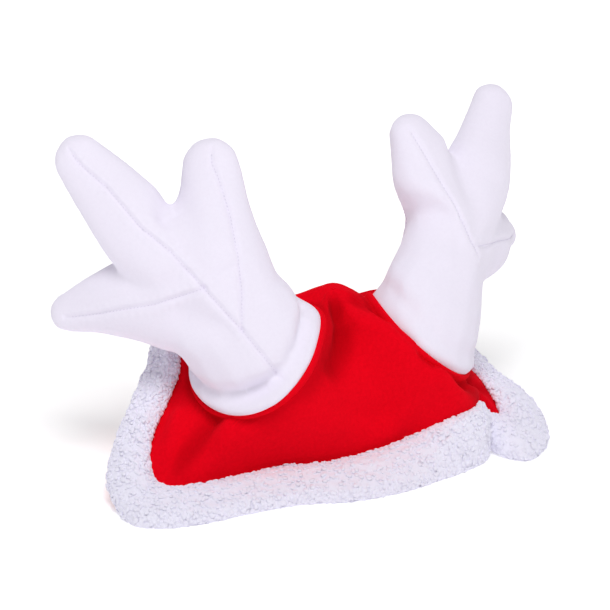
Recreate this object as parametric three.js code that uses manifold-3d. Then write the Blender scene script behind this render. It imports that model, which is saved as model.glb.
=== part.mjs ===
// Reindeer hat: a soft red felt crown with a deep white pile trim round its hem, and two stuffed white
// felt antlers sewn into holes in the crown. It stands on its hem as it would on a table.
// Millimetres, +Z up, the wearer's brow towards -Y. The origin is on the table, under the middle of the hat.
import * as THREE from "three";
import { mergeVertices } from "three/addons/utils/BufferGeometryUtils.js";
import Module from "manifold-3d";

const wasm = await Module();
wasm.setup();

// Driving sizes
const FELT = 2.5; // crown wall
const GAP = 0.35; // clearance between sewn pieces
const RIDGE = { x: -2, y: 28, z: 127, spread: 0.2, fall: 0.2 }; // top of the crown, a small copy of the band line that falls away from the top
const BAND_ROWS_MM = [0, 4, 14, 25]; // rows of crown points up from the hem, under the trim
const PILE = { height: 11, hemOverhang: 6, topLean: 5, tuft: 1.6, back: 0.6 }; // the trim's curly pile
const WELT = { radius: 2.6, lift: 0.6, points: 30, sides: 5 }; // raised edge of the crown round each antler
const HEM_REST = 1.2; // height of the crown's outer face where the hem lies on the table
const FLOOR_SNAP = 0.6; // cloth this close to the table lies flat on it
const HAT_TO_ORIGIN = [0, -26.55, 0]; // brings the middle of the hat over the origin

// The hem and the band line (the trim's upper edge), one row for each station round the hat, from the
// front left corner along the front, the right side, the back and the left side. swell is how far the
// crown bulges outside the straight line from the ridge to the band line.
const STATIONS = [
  // name               hem: x     y    z     band: x    y    z   swell
  ["front_left_corner", -178, -36, 1.2, -153, -8, 12, 0],
  ["front_left_turn", -165, -47, 1.2, -147, -15, 9, 0],
  ["front_left", -138, -53, 1.2, -130, -19, 7.5, 0],
  ["front_left_mid", -101, -51.5, 1.2, -98, -19, 8.5, 2],
  ["front_mid", -63, -53, 1.2, -60, -20, 10.5, 8],
  ["front_right_mid", -29, -63, 1.2, -26, -31, 13, 14],
  ["front_middle_fold", 10, -65, 1.2, 8, -34, 17, 16],
  ["front_right", 37, -59, 1.2, 33, -33, 23, 16],
  ["fold_rise", 64, -51, 1.2, 64, -42, 36, 12],
  ["fold_crest", 86, -43, 2, 88, -37, 38, 8],
  ["fold_valley", 105, -24, 6, 106, -14, 32, 2],
  ["front_right_corner", 120, -54, 1.2, 122, -18, 20, 0],
  ["right_low", 144, -38, 3, 123, -12, 25, 0],
  ["right_side", 153, -8, 13, 120, 0, 37, 2],
  ["right_arch", 146, 34, 26, 115, 26, 53, 2],
  ["right_peak", 128, 74, 48, 103, 60, 68, 6],
  ["right_back", 108, 100, 26, 91, 78, 48, 14],
  ["back_right_corner", 84, 112, 1.2, 75, 84, 22, 18],
  ["back_mid", 0, 118, 1.2, 0, 88, 18, 17],
  ["back_left_corner", -78, 116, 1.2, -68, 89, 24, 18],
  ["left_back", -98, 110, 36, -84, 86, 50, 14],
  ["left_peak", -113, 99, 68, -100, 72, 78, 6],
  ["left_arch", -130, 79, 66, -111, 51, 67, 0],
  ["left_side", -150, 56, 51, -126, 37, 52, 0],
  ["left_rise", -171, 30, 29, -142, 23, 38, 0],
  ["left_low", -182, -2, 12, -153, 4, 25, 0],
];

// Each antler: where its root is sewn in, the way the root points, and how the flat of the antler is turned.
const ANTLERS = {
  antler_left: { side: -1, base: [-66.6, 12.3, 88.5], root: [-0.6, -0.29, 0.74], yaw: 25, lean: 20 },
  antler_right: { side: 1, base: [66.6, 12.3, 88.5], root: [0.6, -0.29, 0.74], yaw: 25, lean: 20 },
};
// The crown lies square to an antler's root out to flat. Beyond that it is free of the root at fade, or where
// it would have to come out further than near to far, or from low on the way down to the band line. Between
// the antlers it comes free in the middle.
const BOSS = { flat: 54, fade: 88, near: 38, far: 60, low: 0.84, middle: [6, 30] };
const COLLAR = { above: 0.6, below: 11 }; // felt turned in round each root, from the face of the crown
const HOLE = { above: 5, below: 14 };

// The limbs of an antler, a row for each section: out from the hat, up, forward, and half the width and depth.
const LIMBS = {
  beam: [
    [1.5, 1.8, 2.6, 48.5, 48.5],
    [3.8, 4.7, 6.7, 49.5, 49.5],
    [13, 28, 14, 45, 33],
    [44, 60, 16, 41, 28],
    [84, 95, 24, 31, 23],
    [124, 141, 24, 19.5, 14],
  ],
  inner_tine: [
    [14, 42, 18, 36, 28],
    [26, 86, 22, 31, 24],
    [31, 138, 16, 20.5, 15],
  ],
  outer_tine: [
    [36, 46, 16, 38, 28],
    [88, 42, 8, 31, 22],
    [136, 36, -6, 13, 10],
  ],
};
const ROOT = { radius: 49, below: 4, above: 5, sides: 30 }; // the plug that is sewn into the crown
const ROOT_RIBS = 2; // sections of the beam that lie square to the root
const LIMB_SIDES = 15;
const LIMB_STEP = 13;
const TIP_ANGLES = [28, 54, 76]; // rings that round off a tip, in degrees
const LOOP_POINTS = 76; // points round the hat
const RED_ROWS = 8; // rows of crown points from the ridge to the band line

const v3 = (x, y, z) => new THREE.Vector3(x, y, z);

// A closed surface through rings of equal length, each closed to a centre point at the ends.
function ringSolid(rings, first, last) {
  const n = rings[0].length;
  const points = [first, ...rings.flat(), last];
  const faces = [];
  for (let k = 0; k < n; k++) {
    const next = (k + 1) % n;
    faces.push(0, 1 + next, 1 + k);
    for (let r = 0; r + 1 < rings.length; r++) {
      const a = 1 + r * n;
      const b = a + n;
      faces.push(a + k, a + next, b + k, a + next, b + next, b + k);
    }
    const end = 1 + (rings.length - 1) * n;
    faces.push(end + k, end + next, points.length - 1);
  }
  return solidOf(points, faces);
}

// A closed surface through rings that come back to the first ring, such as a band round the hat.
function loopSolid(rings) {
  const n = rings[0].length;
  const faces = [];
  for (let r = 0; r < rings.length; r++) {
    const a = r * n;
    const b = ((r + 1) % rings.length) * n;
    for (let k = 0; k < n; k++) {
      const next = (k + 1) % n;
      faces.push(a + k, a + next, b + k, a + next, b + next, b + k);
    }
  }
  return solidOf(rings.flat(), faces);
}

function solidOf(points, faces) {
  const vertProperties = new Float32Array(points.flatMap((p) => [p.x, p.y, p.z]));
  const solid = new wasm.Manifold(new wasm.Mesh({ numProp: 3, vertProperties, triVerts: new Uint32Array(faces) }));
  return solid;
}

function solidFrom(geometry) {
  const bare = geometry.clone();
  for (const name of ["normal", "uv"]) bare.deleteAttribute(name);
  const welded = mergeVertices(bare, 1e-4);
  const at = welded.getAttribute("position");
  const points = Array.from({ length: at.count }, (_, i) => v3(at.getX(i), at.getY(i), at.getZ(i)));
  return solidOf(points, [...welded.index.array]);
}

function geometryOf(solid) {
  const made = solid.getMesh();
  const geometry = new THREE.BufferGeometry();
  geometry.setAttribute("position", new THREE.BufferAttribute(made.vertProperties, 3));
  geometry.setIndex(new THREE.BufferAttribute(made.triVerts, 1));
  return geometry.translate(...HAT_TO_ORIGIN);
}

// The table's columns as smooth closed loops round the hat.
function hatLoops(count) {
  const closed = (points) => new THREE.CatmullRomCurve3(points, true, "centripetal");
  const hem = closed(STATIONS.map((s) => v3(s[1], s[2], s[3])));
  const band = closed(STATIONS.map((s) => v3(s[4], s[5], s[6])));
  const swell = closed(STATIONS.map((s) => v3(s[7], 0, 0)));
  const rows = [];
  for (let k = 0; k < count; k++) {
    const t = k / count;
    const row = { hem: hem.getPoint(t), band: band.getPoint(t), swell: swell.getPoint(t).x };
    row.hem.z = Math.max(row.hem.z, HEM_REST);
    rows.push(row);
  }
  return rows;
}

// Near an antler the felt is drawn out to lie square to the antler's root.
function onBosses(p, down) {
  for (const { base, root } of Object.values(ANTLERS)) {
    const normal = v3(...root).normalize();
    const away = p.clone().sub(v3(...base));
    const height = away.dot(normal);
    const reach = Math.sqrt(Math.max(away.lengthSq() - height * height, 0));
    const free = THREE.MathUtils.smoothstep;
    const skirt = (1 - free(-height, BOSS.near, BOSS.far)) * (1 - free(down, BOSS.low, 1));
    const seat = (1 - free(reach, BOSS.flat, 0.5 * (BOSS.flat + BOSS.fade))) * (1 - free(down, 0.94, 1));
    const hold = Math.max(seat, (1 - free(reach, BOSS.flat, BOSS.fade)) * skirt);
    p.addScaledVector(normal, -height * hold * free(Math.abs(p.x - RIDGE.x), ...BOSS.middle));
    p.z = Math.min(p.z, RIDGE.z - RIDGE.fall * Math.abs(p.x - RIDGE.x));
  }
  return p;
}

// Rings of crown points from the ridge down to the hem, all on the outer face.
function crownRings(loops) {
  const top = v3(RIDGE.x, RIDGE.y, RIDGE.z);
  const rings = [];
  for (let r = 0; r <= RED_ROWS; r++) {
    const down = r / RED_ROWS;
    rings.push(
      loops.map(({ band, swell }) => {
        const ridge = v3(
          THREE.MathUtils.lerp(top.x, band.x, RIDGE.spread),
          THREE.MathUtils.lerp(top.y, band.y, RIDGE.spread),
          top.z,
        );
        ridge.z -= RIDGE.fall * Math.hypot(ridge.x - top.x, ridge.y - top.y);
        const p = ridge.clone().lerp(band, down);
        const out = v3(band.x - top.x, band.y - top.y, 0).normalize();
        const rise = (ridge.z - band.z) / Math.hypot(band.x - ridge.x, band.y - ridge.y);
        const across = v3(out.x * rise, out.y * rise, 1).normalize();
        return onBosses(p.addScaledVector(across, swell * Math.sin(Math.PI * down)), down);
      }),
    );
  }
  for (const mm of [...BAND_ROWS_MM].reverse()) {
    rings.push(loops.map(({ hem, band }) => hem.clone().lerp(band, mm / hem.distanceTo(band))));
  }
  return rings;
}

// Outward directions of the crown's face at the points of its rings.
function faceNormals(rings) {
  const n = rings[0].length;
  return rings.map((ring, r) =>
    ring.map((_, k) => {
      const up = rings[Math.max(r - 1, 0)][k];
      const down = rings[Math.min(r + 1, rings.length - 1)][k];
      const along = ring[(k + 1) % n].clone().sub(ring[(k - 1 + n) % n]);
      return along.cross(up.clone().sub(down)).normalize();
    }),
  );
}

// The rings moved inwards by the wall, with what lies close to the table flattened on it.
function insideRings(rings, normals) {
  return rings.map((ring, r) =>
    ring.map((p, k) => {
      const q = p.clone().addScaledVector(normals[r][k], -FELT);
      if (q.z < FLOOR_SNAP) q.z = 0;
      return q;
    }),
  );
}

function crownShell(rings, inner) {
  const top = v3(RIDGE.x, RIDGE.y, RIDGE.z);
  const under = v3(RIDGE.x, RIDGE.y, RIDGE.z - FELT);
  return ringSolid([...inner, ...[...rings].reverse()], under, top);
}

// A rounded welt that lies on the crown's outer face, just outside an antler's root.
function welt({ base, root }) {
  const axis = v3(...root).normalize();
  const ring = new THREE.TorusGeometry(ROOT.radius + GAP + 0.5 * WELT.radius, WELT.radius, WELT.sides, WELT.points);
  ring.applyQuaternion(new THREE.Quaternion().setFromUnitVectors(v3(0, 0, 1), axis));
  ring.translate(...v3(...base).addScaledVector(axis, WELT.lift).toArray());
  return solidFrom(ring);
}

// One limb of an antler: a skin drawn smoothly through elliptical sections, with a flat start and a round tip.
function limb(sections, place) {
  const line = new THREE.CatmullRomCurve3(sections.map((s) => s.at));
  const last = sections.length - 1;
  const steps = Math.max(4, Math.round(line.getLength() / LIMB_STEP));
  const ellipse = (centre, along, width, depth) => {
    const deep = place.forward.clone().addScaledVector(along, -place.forward.dot(along)).normalize();
    const wide = along.clone().cross(deep);
    const ring = [];
    for (let k = 0; k < LIMB_SIDES; k++) {
      const a = (2 * Math.PI * k) / LIMB_SIDES;
      ring.push(
        centre.clone().addScaledVector(wide, width * Math.cos(a)).addScaledVector(deep, -depth * Math.sin(a)),
      );
    }
    return ring;
  };
  const ribs = sections.map((s, i) => ellipse(s.at, s.squareToRoot ? place.root : line.getTangent(i / last), s.width, s.depth));
  const skin = ribs[0].map((_, k) => new THREE.CatmullRomCurve3(ribs.map((rib) => rib[k])));
  const rings = [];
  for (let i = 0; i <= steps; i++) rings.push(skin.map((thread) => thread.getPoint(i / steps)));
  const tip = sections[last];
  const along = line.getTangent(1);
  for (const degrees of TIP_ANGLES) {
    const a = THREE.MathUtils.degToRad(degrees);
    const centre = tip.at.clone().addScaledVector(along, tip.width * Math.sin(a));
    rings.push(ellipse(centre, along, tip.width * Math.cos(a), tip.depth * Math.cos(a)));
  }
  return ringSolid(rings, sections[0].at, tip.at.clone().addScaledVector(along, tip.width));
}

// The antler's own directions: out from the hat, up along its flat, and forward out of its flat.
function antlerPlace({ side, base, root, yaw, lean }) {
  const turn = new THREE.Matrix4().makeRotationZ(THREE.MathUtils.degToRad(side * yaw));
  turn.multiply(new THREE.Matrix4().makeRotationX(THREE.MathUtils.degToRad(-lean)));
  return {
    base: v3(...base),
    root: v3(...root).normalize(),
    out: v3(side, 0, 0).applyMatrix4(turn),
    up: v3(0, 0, 1).applyMatrix4(turn),
    forward: v3(0, -1, 0).applyMatrix4(turn),
  };
}

// The round root of an antler, or wider and deeper the collar or the hole for it.
function rootPlug({ base, root }, clearance, { above, below }) {
  const radius = ROOT.radius + clearance;
  const round = new THREE.CylinderGeometry(radius, radius, above + below, ROOT.sides);
  round.translate(0, (above - below) / 2, 0);
  round.applyQuaternion(new THREE.Quaternion().setFromUnitVectors(v3(0, 1, 0), v3(...root).normalize()));
  round.translate(...base);
  return solidFrom(round);
}

function antler(spec) {
  const place = antlerPlace(spec);
  const toHat = (s, u, f) =>
    place.base.clone().addScaledVector(place.out, s).addScaledVector(place.up, u).addScaledVector(place.forward, f);
  const sections = (name) =>
    LIMBS[name].map(([s, u, f, width, depth], i) => ({
      at: toHat(s, u, f),
      width,
      depth,
      squareToRoot: name === "beam" && i < ROOT_RIBS,
    }));
  return Object.keys(LIMBS)
    .map((name) => limb(sections(name), place))
    .reduce((whole, part) => whole.add(part), rootPlug(spec, 0, ROOT));
}

// The trim: its back lies on the crown's own rows of points, a gap off the felt, and its pile rounds over
// the hem below and leans on the red felt above.
function trim(loops, rings, normals) {
  const n = loops.length;
  const { height, hemOverhang, topLean, tuft, back } = PILE;
  const felted = BAND_ROWS_MM.map((_, i) => rings.length - 2 - i); // the crown's rows under the pile, above the hem's
  const sections = loops.map(({ hem, band }, k) => {
    const along = loops[(k + 1) % n].hem.clone().sub(loops[(k - 1 + n) % n].hem);
    const up = band.clone().sub(hem);
    const width = up.length();
    const normal = along.clone().cross(up).normalize();
    up.normalize();
    const rise = rings[RED_ROWS - 1][k].clone().sub(band).normalize();
    const off = along.clone().cross(rise).normalize();
    const at = (w, h, lump = 0) =>
      hem.clone().addScaledVector(up, w).addScaledVector(normal, h + tuft * lump * Math.sin(2.4 * k + 0.2 * w));
    const crest = band.clone().addScaledVector(rise, topLean).addScaledVector(off, 2);
    const section = [
      at(-0.8, back),
      ...felted.map((row) => rings[row][k].clone().addScaledVector(normals[row][k], back)),
      crest,
      crest.clone().lerp(at(0.9 * width, 0.8 * height, 0.6), 0.6),
      at(0.66 * width, 0.97 * height, 1),
      at(0.26 * width, height, 1),
      at(-0.5 * hemOverhang, 0.8 * height, 1),
      at(-hemOverhang, 0.3 * height, 0.6),
      at(-0.75 * hemOverhang, -FELT),
      at(-1.2, -FELT),
    ];
    for (const p of section) if (p.z < FLOOR_SNAP) p.z = 0;
    return section;
  });
  return loopSolid(sections);
}

const loops = hatLoops(LOOP_POINTS);
const rings = crownRings(loops);
const normals = faceNormals(rings);
const inner = insideRings(rings, normals);
let crown = crownShell(rings, inner);

const hat = new THREE.Group();
const felt = (color) => new THREE.MeshStandardMaterial({ color, roughness: 0.95, metalness: 0 });

for (const [name, spec] of Object.entries(ANTLERS)) {
  const solid = antler(spec);
  crown = crown.add(welt(spec)).add(rootPlug(spec, GAP + FELT, COLLAR)).subtract(rootPlug(spec, GAP, HOLE));
  const mesh = new THREE.Mesh(geometryOf(solid), felt(0xf1ecf6));
  mesh.name = name;
  hat.add(mesh);
}

const crownMesh = new THREE.Mesh(geometryOf(crown), felt(0xcf0a1c));
crownMesh.name = "crown";
const trimMesh = new THREE.Mesh(geometryOf(trim(loops, rings, normals)), felt(0xf2effa));
trimMesh.name = "trim";
hat.add(crownMesh, trimMesh);

export default hat;
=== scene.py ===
import math
from itertools import product

import bmesh
import bpy
import numpy as np
from mathutils import Matrix, Vector
from mathutils.bvhtree import BVHTree


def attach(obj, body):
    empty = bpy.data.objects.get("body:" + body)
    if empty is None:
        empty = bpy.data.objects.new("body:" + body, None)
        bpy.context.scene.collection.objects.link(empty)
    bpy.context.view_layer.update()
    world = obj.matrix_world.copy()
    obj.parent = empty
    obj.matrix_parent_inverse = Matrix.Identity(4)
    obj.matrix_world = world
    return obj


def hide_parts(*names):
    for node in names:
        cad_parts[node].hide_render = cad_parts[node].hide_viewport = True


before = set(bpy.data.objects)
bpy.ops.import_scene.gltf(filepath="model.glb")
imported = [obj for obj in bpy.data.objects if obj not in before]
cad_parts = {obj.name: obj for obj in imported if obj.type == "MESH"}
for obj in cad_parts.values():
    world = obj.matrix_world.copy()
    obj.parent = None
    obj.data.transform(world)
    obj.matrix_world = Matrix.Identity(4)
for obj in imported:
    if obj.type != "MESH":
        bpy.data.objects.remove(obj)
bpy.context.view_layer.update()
mm = 0.001
scene = bpy.context.scene
print("reindeer hat: frame loaded, nodes", sorted(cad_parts))

# The hem and the band line (upper edge of the trim) round the hat, in millimetres.
# swell is how far the crown bulges outside the line from the ridge to the band line.
stations = [
    # name, hem x y z, band x y z, swell
    ("frontLeftCorner", -178, -36, 1.2, -153, -8, 12, 0),
    ("frontLeftTurn", -165, -47, 1.2, -147, -15, 9, 0),
    ("frontLeft", -138, -53, 1.2, -130, -19, 7.5, 0),
    ("frontLeftMid", -101, -51.5, 1.2, -98, -19, 8.5, 2),
    ("frontMid", -63, -53, 1.2, -60, -20, 10.5, 8),
    ("frontRightMid", -29, -63, 1.2, -26, -31, 13, 14),
    ("frontMiddleFold", 10, -65, 1.2, 8, -34, 17, 16),
    ("frontRight", 37, -59, 1.2, 33, -33, 23, 16),
    ("foldRise", 64, -51, 1.2, 64, -42, 36, 12),
    ("foldCrest", 86, -43, 2, 88, -37, 38, 8),
    ("foldValley", 105, -24, 6, 106, -14, 32, 2),
    ("frontRightCorner", 120, -54, 1.2, 122, -18, 20, 0),
    ("rightLow", 144, -38, 3, 123, -12, 25, 0),
    ("rightSide", 153, -8, 13, 120, 0, 37, 2),
    ("rightArch", 146, 34, 26, 115, 26, 53, 2),
    ("rightPeak", 128, 74, 48, 103, 60, 68, 6),
    ("rightBack", 108, 100, 26, 91, 78, 48, 14),
    ("backRightCorner", 84, 112, 1.2, 75, 84, 22, 18),
    ("backMid", 0, 118, 1.2, 0, 88, 18, 17),
    ("backLeftCorner", -78, 116, 1.2, -68, 89, 24, 18),
    ("leftBack", -98, 110, 36, -84, 86, 50, 14),
    ("leftPeak", -113, 99, 68, -100, 72, 78, 6),
    ("leftArch", -130, 79, 66, -111, 51, 67, 0),
    ("leftSide", -150, 56, 51, -126, 37, 52, 0),
    ("leftRise", -171, 30, 29, -142, 23, 38, 0),
    ("leftLow", -182, -2, 12, -153, 4, 25, 0),
]
hatShift = np.array([0, -26.55, 0])  # brings the middle of the hat over the origin
floorGap = 1.2  # the felt stays this far above the floor

# How far the hem is drawn in where the band is narrower, on the left
hemDrawnIn = {"leftPeak": 10, "leftArch": 14, "leftSide": 12, "leftRise": 9, "leftLow": 2}

# Where the soft hat has settled or stands up: middle of the place, reach, and how far it moves
settledPlaces = [
    ((44, 16, 122), 27, (0, 0, -13)),  # top of the right antler's ring
    ((19, 3, 121), 12, (0, 0, 3)),  # crown beside it
    ((-24, 2, 123), 15, (0, 0, -4)),  # crown beside the left ring
    ((1, 2, 124), 19, (0, 0, 6)),  # the crown's highest point
    ((-27, -18, 112), 24, (9, -2, -1)),  # inner side of the left ring
    ((-34, 4, 122), 20, (8, 0, -3)),  # top of the left ring
    ((128, 14, 56), 34, (6, -2, -14)),  # trim behind the right antler
]

# Where the antlers are sewn in
roots = {
    "left": {"side": -1, "base": (-66.6, 12.3, 88.5), "normal": (-0.6, -0.29, 0.74)},
    "right": {"side": 1, "base": (66.6, 12.3, 88.5), "normal": (0.6, -0.29, 0.74)},
}


def unit(v):
    v = np.asarray(v, float)
    return v / np.maximum(np.linalg.norm(v, axis=-1, keepdims=True), 1e-9)


def smooth(x, low, high):
    t = np.clip((x - low) / (high - low), 0, 1)
    return t * t * (3 - 2 * t)


def smoothDown(x, low, high):
    return 1 - smooth(x, low, high)


def knotGap(a, b):
    return ((a - b) ** 2).sum(1, keepdims=True) ** 0.25


def closedCurve(points, t):
    # a smooth closed curve through the points, t from 0 to 1 once round
    pts = np.asarray(points, float)
    n = len(pts)
    at = n * np.asarray(t, float)
    i = np.floor(at).astype(int)
    w = (at - i)[:, None]
    tiny = 1e-4  # two points that fall together
    p0, p1, p2, p3 = (pts[(i + k) % n] for k in (-1, 0, 1, 2))
    d0, d1, d2 = knotGap(p0, p1), knotGap(p1, p2), knotGap(p2, p3)
    d1 = np.where(d1 < tiny, 1, d1)
    d0, d2 = np.where(d0 < tiny, d1, d0), np.where(d2 < tiny, d1, d2)
    t1 = d1 * ((p1 - p0) / d0 - (p2 - p0) / (d0 + d1) + (p2 - p1) / d1)
    t2 = d1 * ((p2 - p1) / d1 - (p3 - p1) / (d1 + d2) + (p3 - p2) / d2)
    return p1 + t1 * w + (3 * (p2 - p1) - 2 * t1 - t2) * w**2 + (2 * (p1 - p2) + t1 + t2) * w**3


def closedValues(values, t):
    values = np.asarray(values, float)
    return closedCurve(np.column_stack([values, 0 * values, 0 * values]), t)[:, 0]


def hatLoops(count):
    t = np.arange(count) / count
    table = np.array([row[1:] for row in stations], float)
    hem = closedCurve(table[:, 0:3], t)
    band = closedCurve(table[:, 3:6], t)
    swell = closedValues(table[:, 6], t)
    drawnIn = closedValues([hemDrawnIn.get(row[0], 0) for row in stations], t)
    hem = hem + unit(band - hem) * drawnIn[:, None]
    hem[:, 2] = np.maximum(hem[:, 2], floorGap)
    return hem, band, swell


def settle(points):
    # moves crown, welts, trim and antler roots together, so that they still meet
    moved = points.copy()
    for place, reach, shift in settledPlaces:
        near = np.exp(-((points - np.array(place)) ** 2).sum(-1) / reach**2)
        moved += near[..., None] * np.array(shift, float)
    return moved


def heightReach(away, normal):
    height = away @ normal
    reach = np.sqrt(np.maximum((away**2).sum(-1) - height**2, 0))
    return height, reach


def rootPlace(root, p):
    # height over an antler's root, and distance from the middle of it
    return heightReach(p - np.array(root["base"]) - hatShift, unit(root["normal"]))


# Steps that mix a cell's whole numbers into one, and that into three shares from 0 to 1
cellSteps = (73856093, 19349663, 83492791)
seedStep = 2654435
shareSteps = (7919, 104729, 15485863)
shareSpan = 100003


def cellLumps(points, cell, seed):
    # distance to the nearest seed, one in each cell: 0 at a seed, about 1 between seeds
    grid = points / cell
    home = np.floor(grid).astype(np.int64)
    best = np.full(len(points), 9.0)
    for step in product((-1, 0, 1), repeat=3):
        c = home + np.array(step)
        mixed = np.full(len(points), seed * seedStep)
        for axis in range(3):
            mixed = mixed ^ (c[:, axis] * cellSteps[axis])
        jitter = np.column_stack([((mixed * k) % shareSpan) / shareSpan for k in shareSteps])
        best = np.minimum(best, np.linalg.norm(grid - c - jitter, axis=1))
    return best


def softNoise(points, size, seed):
    # a few sine waves in fixed directions, a smooth slow wander between about -1 and 1
    rng = np.random.default_rng(seed)
    total = np.zeros(len(points))
    waves, pace = 7, 2 * math.pi / size
    for _ in range(waves):
        way = unit(rng.normal(size=3))
        total += np.sin(points @ way * pace * rng.uniform(0.6, 1.5) + rng.uniform(0, 6.28))
    return total / (0.5 * waves)


def lineDistance(points, line):
    # distance from each point to a line of points, and how far along it
    line = np.asarray(line, float)
    best, along = np.full(len(points), 1e9), np.zeros(len(points))
    start = 0.0
    for a, b in zip(line[:-1], line[1:]):
        step = b - a
        length = np.linalg.norm(step)
        t = np.clip((points - a) @ step / length**2, 0, 1)
        d = np.linalg.norm(points - a - t[:, None] * step, axis=1)
        near = d < best
        best[near], along[near] = d[near], start + t[near] * length
        start += length
    return best, along


def gridFaces(rows, cols, wrapRows=False):
    lastRow = rows if wrapRows else rows - 1
    r, k = np.meshgrid(np.arange(lastRow), np.arange(cols), indexing="ij")
    r, k = r.ravel(), k.ravel()
    here, below = r * cols, (r + 1) % rows * cols
    nextK = (k + 1) % cols
    return np.column_stack([here + k, here + nextK, below + nextK, below + k])


def gridNormals(grid, wrapRows=False):
    along = np.roll(grid, -1, axis=1) - np.roll(grid, 1, axis=1)
    if wrapRows:
        down = np.roll(grid, -1, axis=0) - np.roll(grid, 1, axis=0)
    else:
        down = np.gradient(grid, axis=0)
    return unit(np.cross(down, along))


def addPiece(name, mesh, material, node=None):
    mesh.polygons.foreach_set("use_smooth", [True] * len(mesh.polygons))
    mesh.update()
    mesh.materials.clear()
    mesh.materials.append(material)
    obj = bpy.data.objects.new(name, mesh)
    scene.collection.objects.link(obj)
    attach(obj, "root")
    if node:
        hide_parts(node)
    return obj


def meshPiece(name, points, faces, material, node=None):
    mesh = bpy.data.meshes.new(name)
    corners = [[int(i) for i in face] for face in faces]
    mesh.from_pydata((np.asarray(points) * mm).tolist(), [], corners)
    mesh.validate()
    return addPiece(name, mesh, material, node)


def turnOutward(obj):
    # drops points without faces, and turns all faces outwards
    work = bmesh.new()
    work.from_mesh(obj.data)
    bmesh.ops.delete(work, geom=[v for v in work.verts if not v.link_faces], context="VERTS")
    bmesh.ops.recalc_face_normals(work, faces=work.faces)
    work.to_mesh(obj.data)
    work.free()


# Materials

def newMaterial(name):
    material = bpy.data.materials.new(name)
    material.use_nodes = True
    tree = material.node_tree
    shader = next(n for n in tree.nodes if n.type == "BSDF_PRINCIPLED")
    place = tree.nodes.new("ShaderNodeTexCoord")
    return material, tree, shader, place


def noiseHeight(tree, place, scale, detail, roughness):
    node = tree.nodes.new("ShaderNodeTexNoise")
    node.inputs["Scale"].default_value = scale
    node.inputs["Detail"].default_value = detail
    node.inputs["Roughness"].default_value = roughness
    tree.links.new(place.outputs["Object"], node.inputs["Vector"])
    return node.outputs["Fac"]


def colourRamp(tree, height, stops, colours):
    ramp = tree.nodes.new("ShaderNodeValToRGB")
    for stop, at, colour in zip(ramp.color_ramp.elements, stops, colours):
        stop.position = at
        stop.color = (*colour, 1)
    tree.links.new(height, ramp.inputs["Fac"])
    return ramp.outputs["Color"]


def paintFoldShade(tree, colour, foldShadeColour):
    # painted shade: the crown's mesh holds how far into folds each point lies, and the felt's
    # colour is mixed there toward a darker red that stands in for the shade in its folds and
    # grooves
    paintedShade = tree.nodes.new("ShaderNodeAttribute")
    paintedShade.attribute_name = "paintedShade"
    mix = tree.nodes.new("ShaderNodeMix")
    mix.data_type = "RGBA"
    tree.links.new(paintedShade.outputs["Fac"], mix.inputs[0])
    tree.links.new(colour, mix.inputs[6])
    mix.inputs[7].default_value = (*foldShadeColour, 1)
    return mix.outputs[2]


def bumpChain(tree, shader, heights, bumps):
    last = None
    for height, (strength, distance) in zip(heights, bumps):
        bump = tree.nodes.new("ShaderNodeBump")
        bump.inputs["Strength"].default_value = strength
        bump.inputs["Distance"].default_value = distance
        tree.links.new(height, bump.inputs["Height"])
        if last:
            tree.links.new(last.outputs["Normal"], bump.inputs["Normal"])
        last = bump
    tree.links.new(last.outputs["Normal"], shader.inputs["Normal"])


def makeCloth(name, look):
    # colour from the first noise, with painted shade mixed in along folds where the look gives a
    # colour for it, and bump from each of them
    material, tree, shader, place = newMaterial(name)
    heights = [noiseHeight(tree, place, *noise) for noise in look["noises"]]
    colour = colourRamp(tree, heights[0], look["stops"], (look["dark"], look["light"]))
    # painted shade in folds, for a look that gives its colour
    if "foldShadeColour" in look:
        colour = paintFoldShade(tree, colour, look["foldShadeColour"])
    tree.links.new(colour, shader.inputs["Base Color"])
    bumpChain(tree, shader, heights, look["bumps"])
    shader.inputs["Roughness"].default_value = look["roughness"]
    shader.inputs["Specular IOR Level"].default_value = look["specular"]
    weight, roughness, tint = look["sheen"]
    shader.inputs["Sheen Weight"].default_value = weight
    shader.inputs["Sheen Roughness"].default_value = roughness
    shader.inputs["Sheen Tint"].default_value = (*tint, 1)
    return material


# In each: stops are where the dark ends and the light begins in the first noise,
# noises are scale, detail and roughness, bumps are strength and depth in metres,
# and sheen is weight, roughness and tint.
redFelt = {
    "light": (0.86, 0.0016, 0.0115),
    "dark": (0.76, 0.0010, 0.0085),
    "stops": (0.3, 0.68),
    "noises": [(420, 5, 0.7), (1500, 3, 0.7)],  # mottle and nap
    "bumps": [(0.25, 0.0005), (0.5, 0.0004)],
    "roughness": 0.95,
    "specular": 0.02,
    "sheen": (0.10, 0.5, (1.0, 0.06, 0.10)),
    # painted shade: the darker red that the felt's colour is mixed toward in narrow folds and the
    # grooves round the welts
    "foldShadeColour": (0.34, 0.0004, 0.003),
    "shadeFromDepth": (6.0, 0.85),  # painted shade: how far into folds a point lies before its felt is painted darker, and how much darker at most
}

whiteFelt = {
    "light": (0.86, 0.815, 0.935),
    "dark": (0.84, 0.793, 0.915),
    "stops": (0.3, 0.6),
    "noises": [(420, 6, 0.7), (1300, 3, 0.7)],  # mottle and fuzz
    "bumps": [(0.12, 0.0004), (0.35, 0.0003)],
    "roughness": 0.95,
    "specular": 0.12,
    "sheen": (0.15, 0.6, (1, 1, 1)),
}

whitePile = {
    "light": (0.87, 0.85, 0.97),
    "dark": (0.84, 0.82, 0.945),
    "stops": (0.28, 0.58),
    "noises": [(320, 5, 0.7), (900, 3, 0.7)],  # clumps and wool
    "bumps": [(0.2, 0.0006), (0.4, 0.0004)],
    "roughness": 1.0,
    "specular": 0.1,
    "sheen": (0.2, 0.7, (1, 1, 1)),
}

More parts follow.
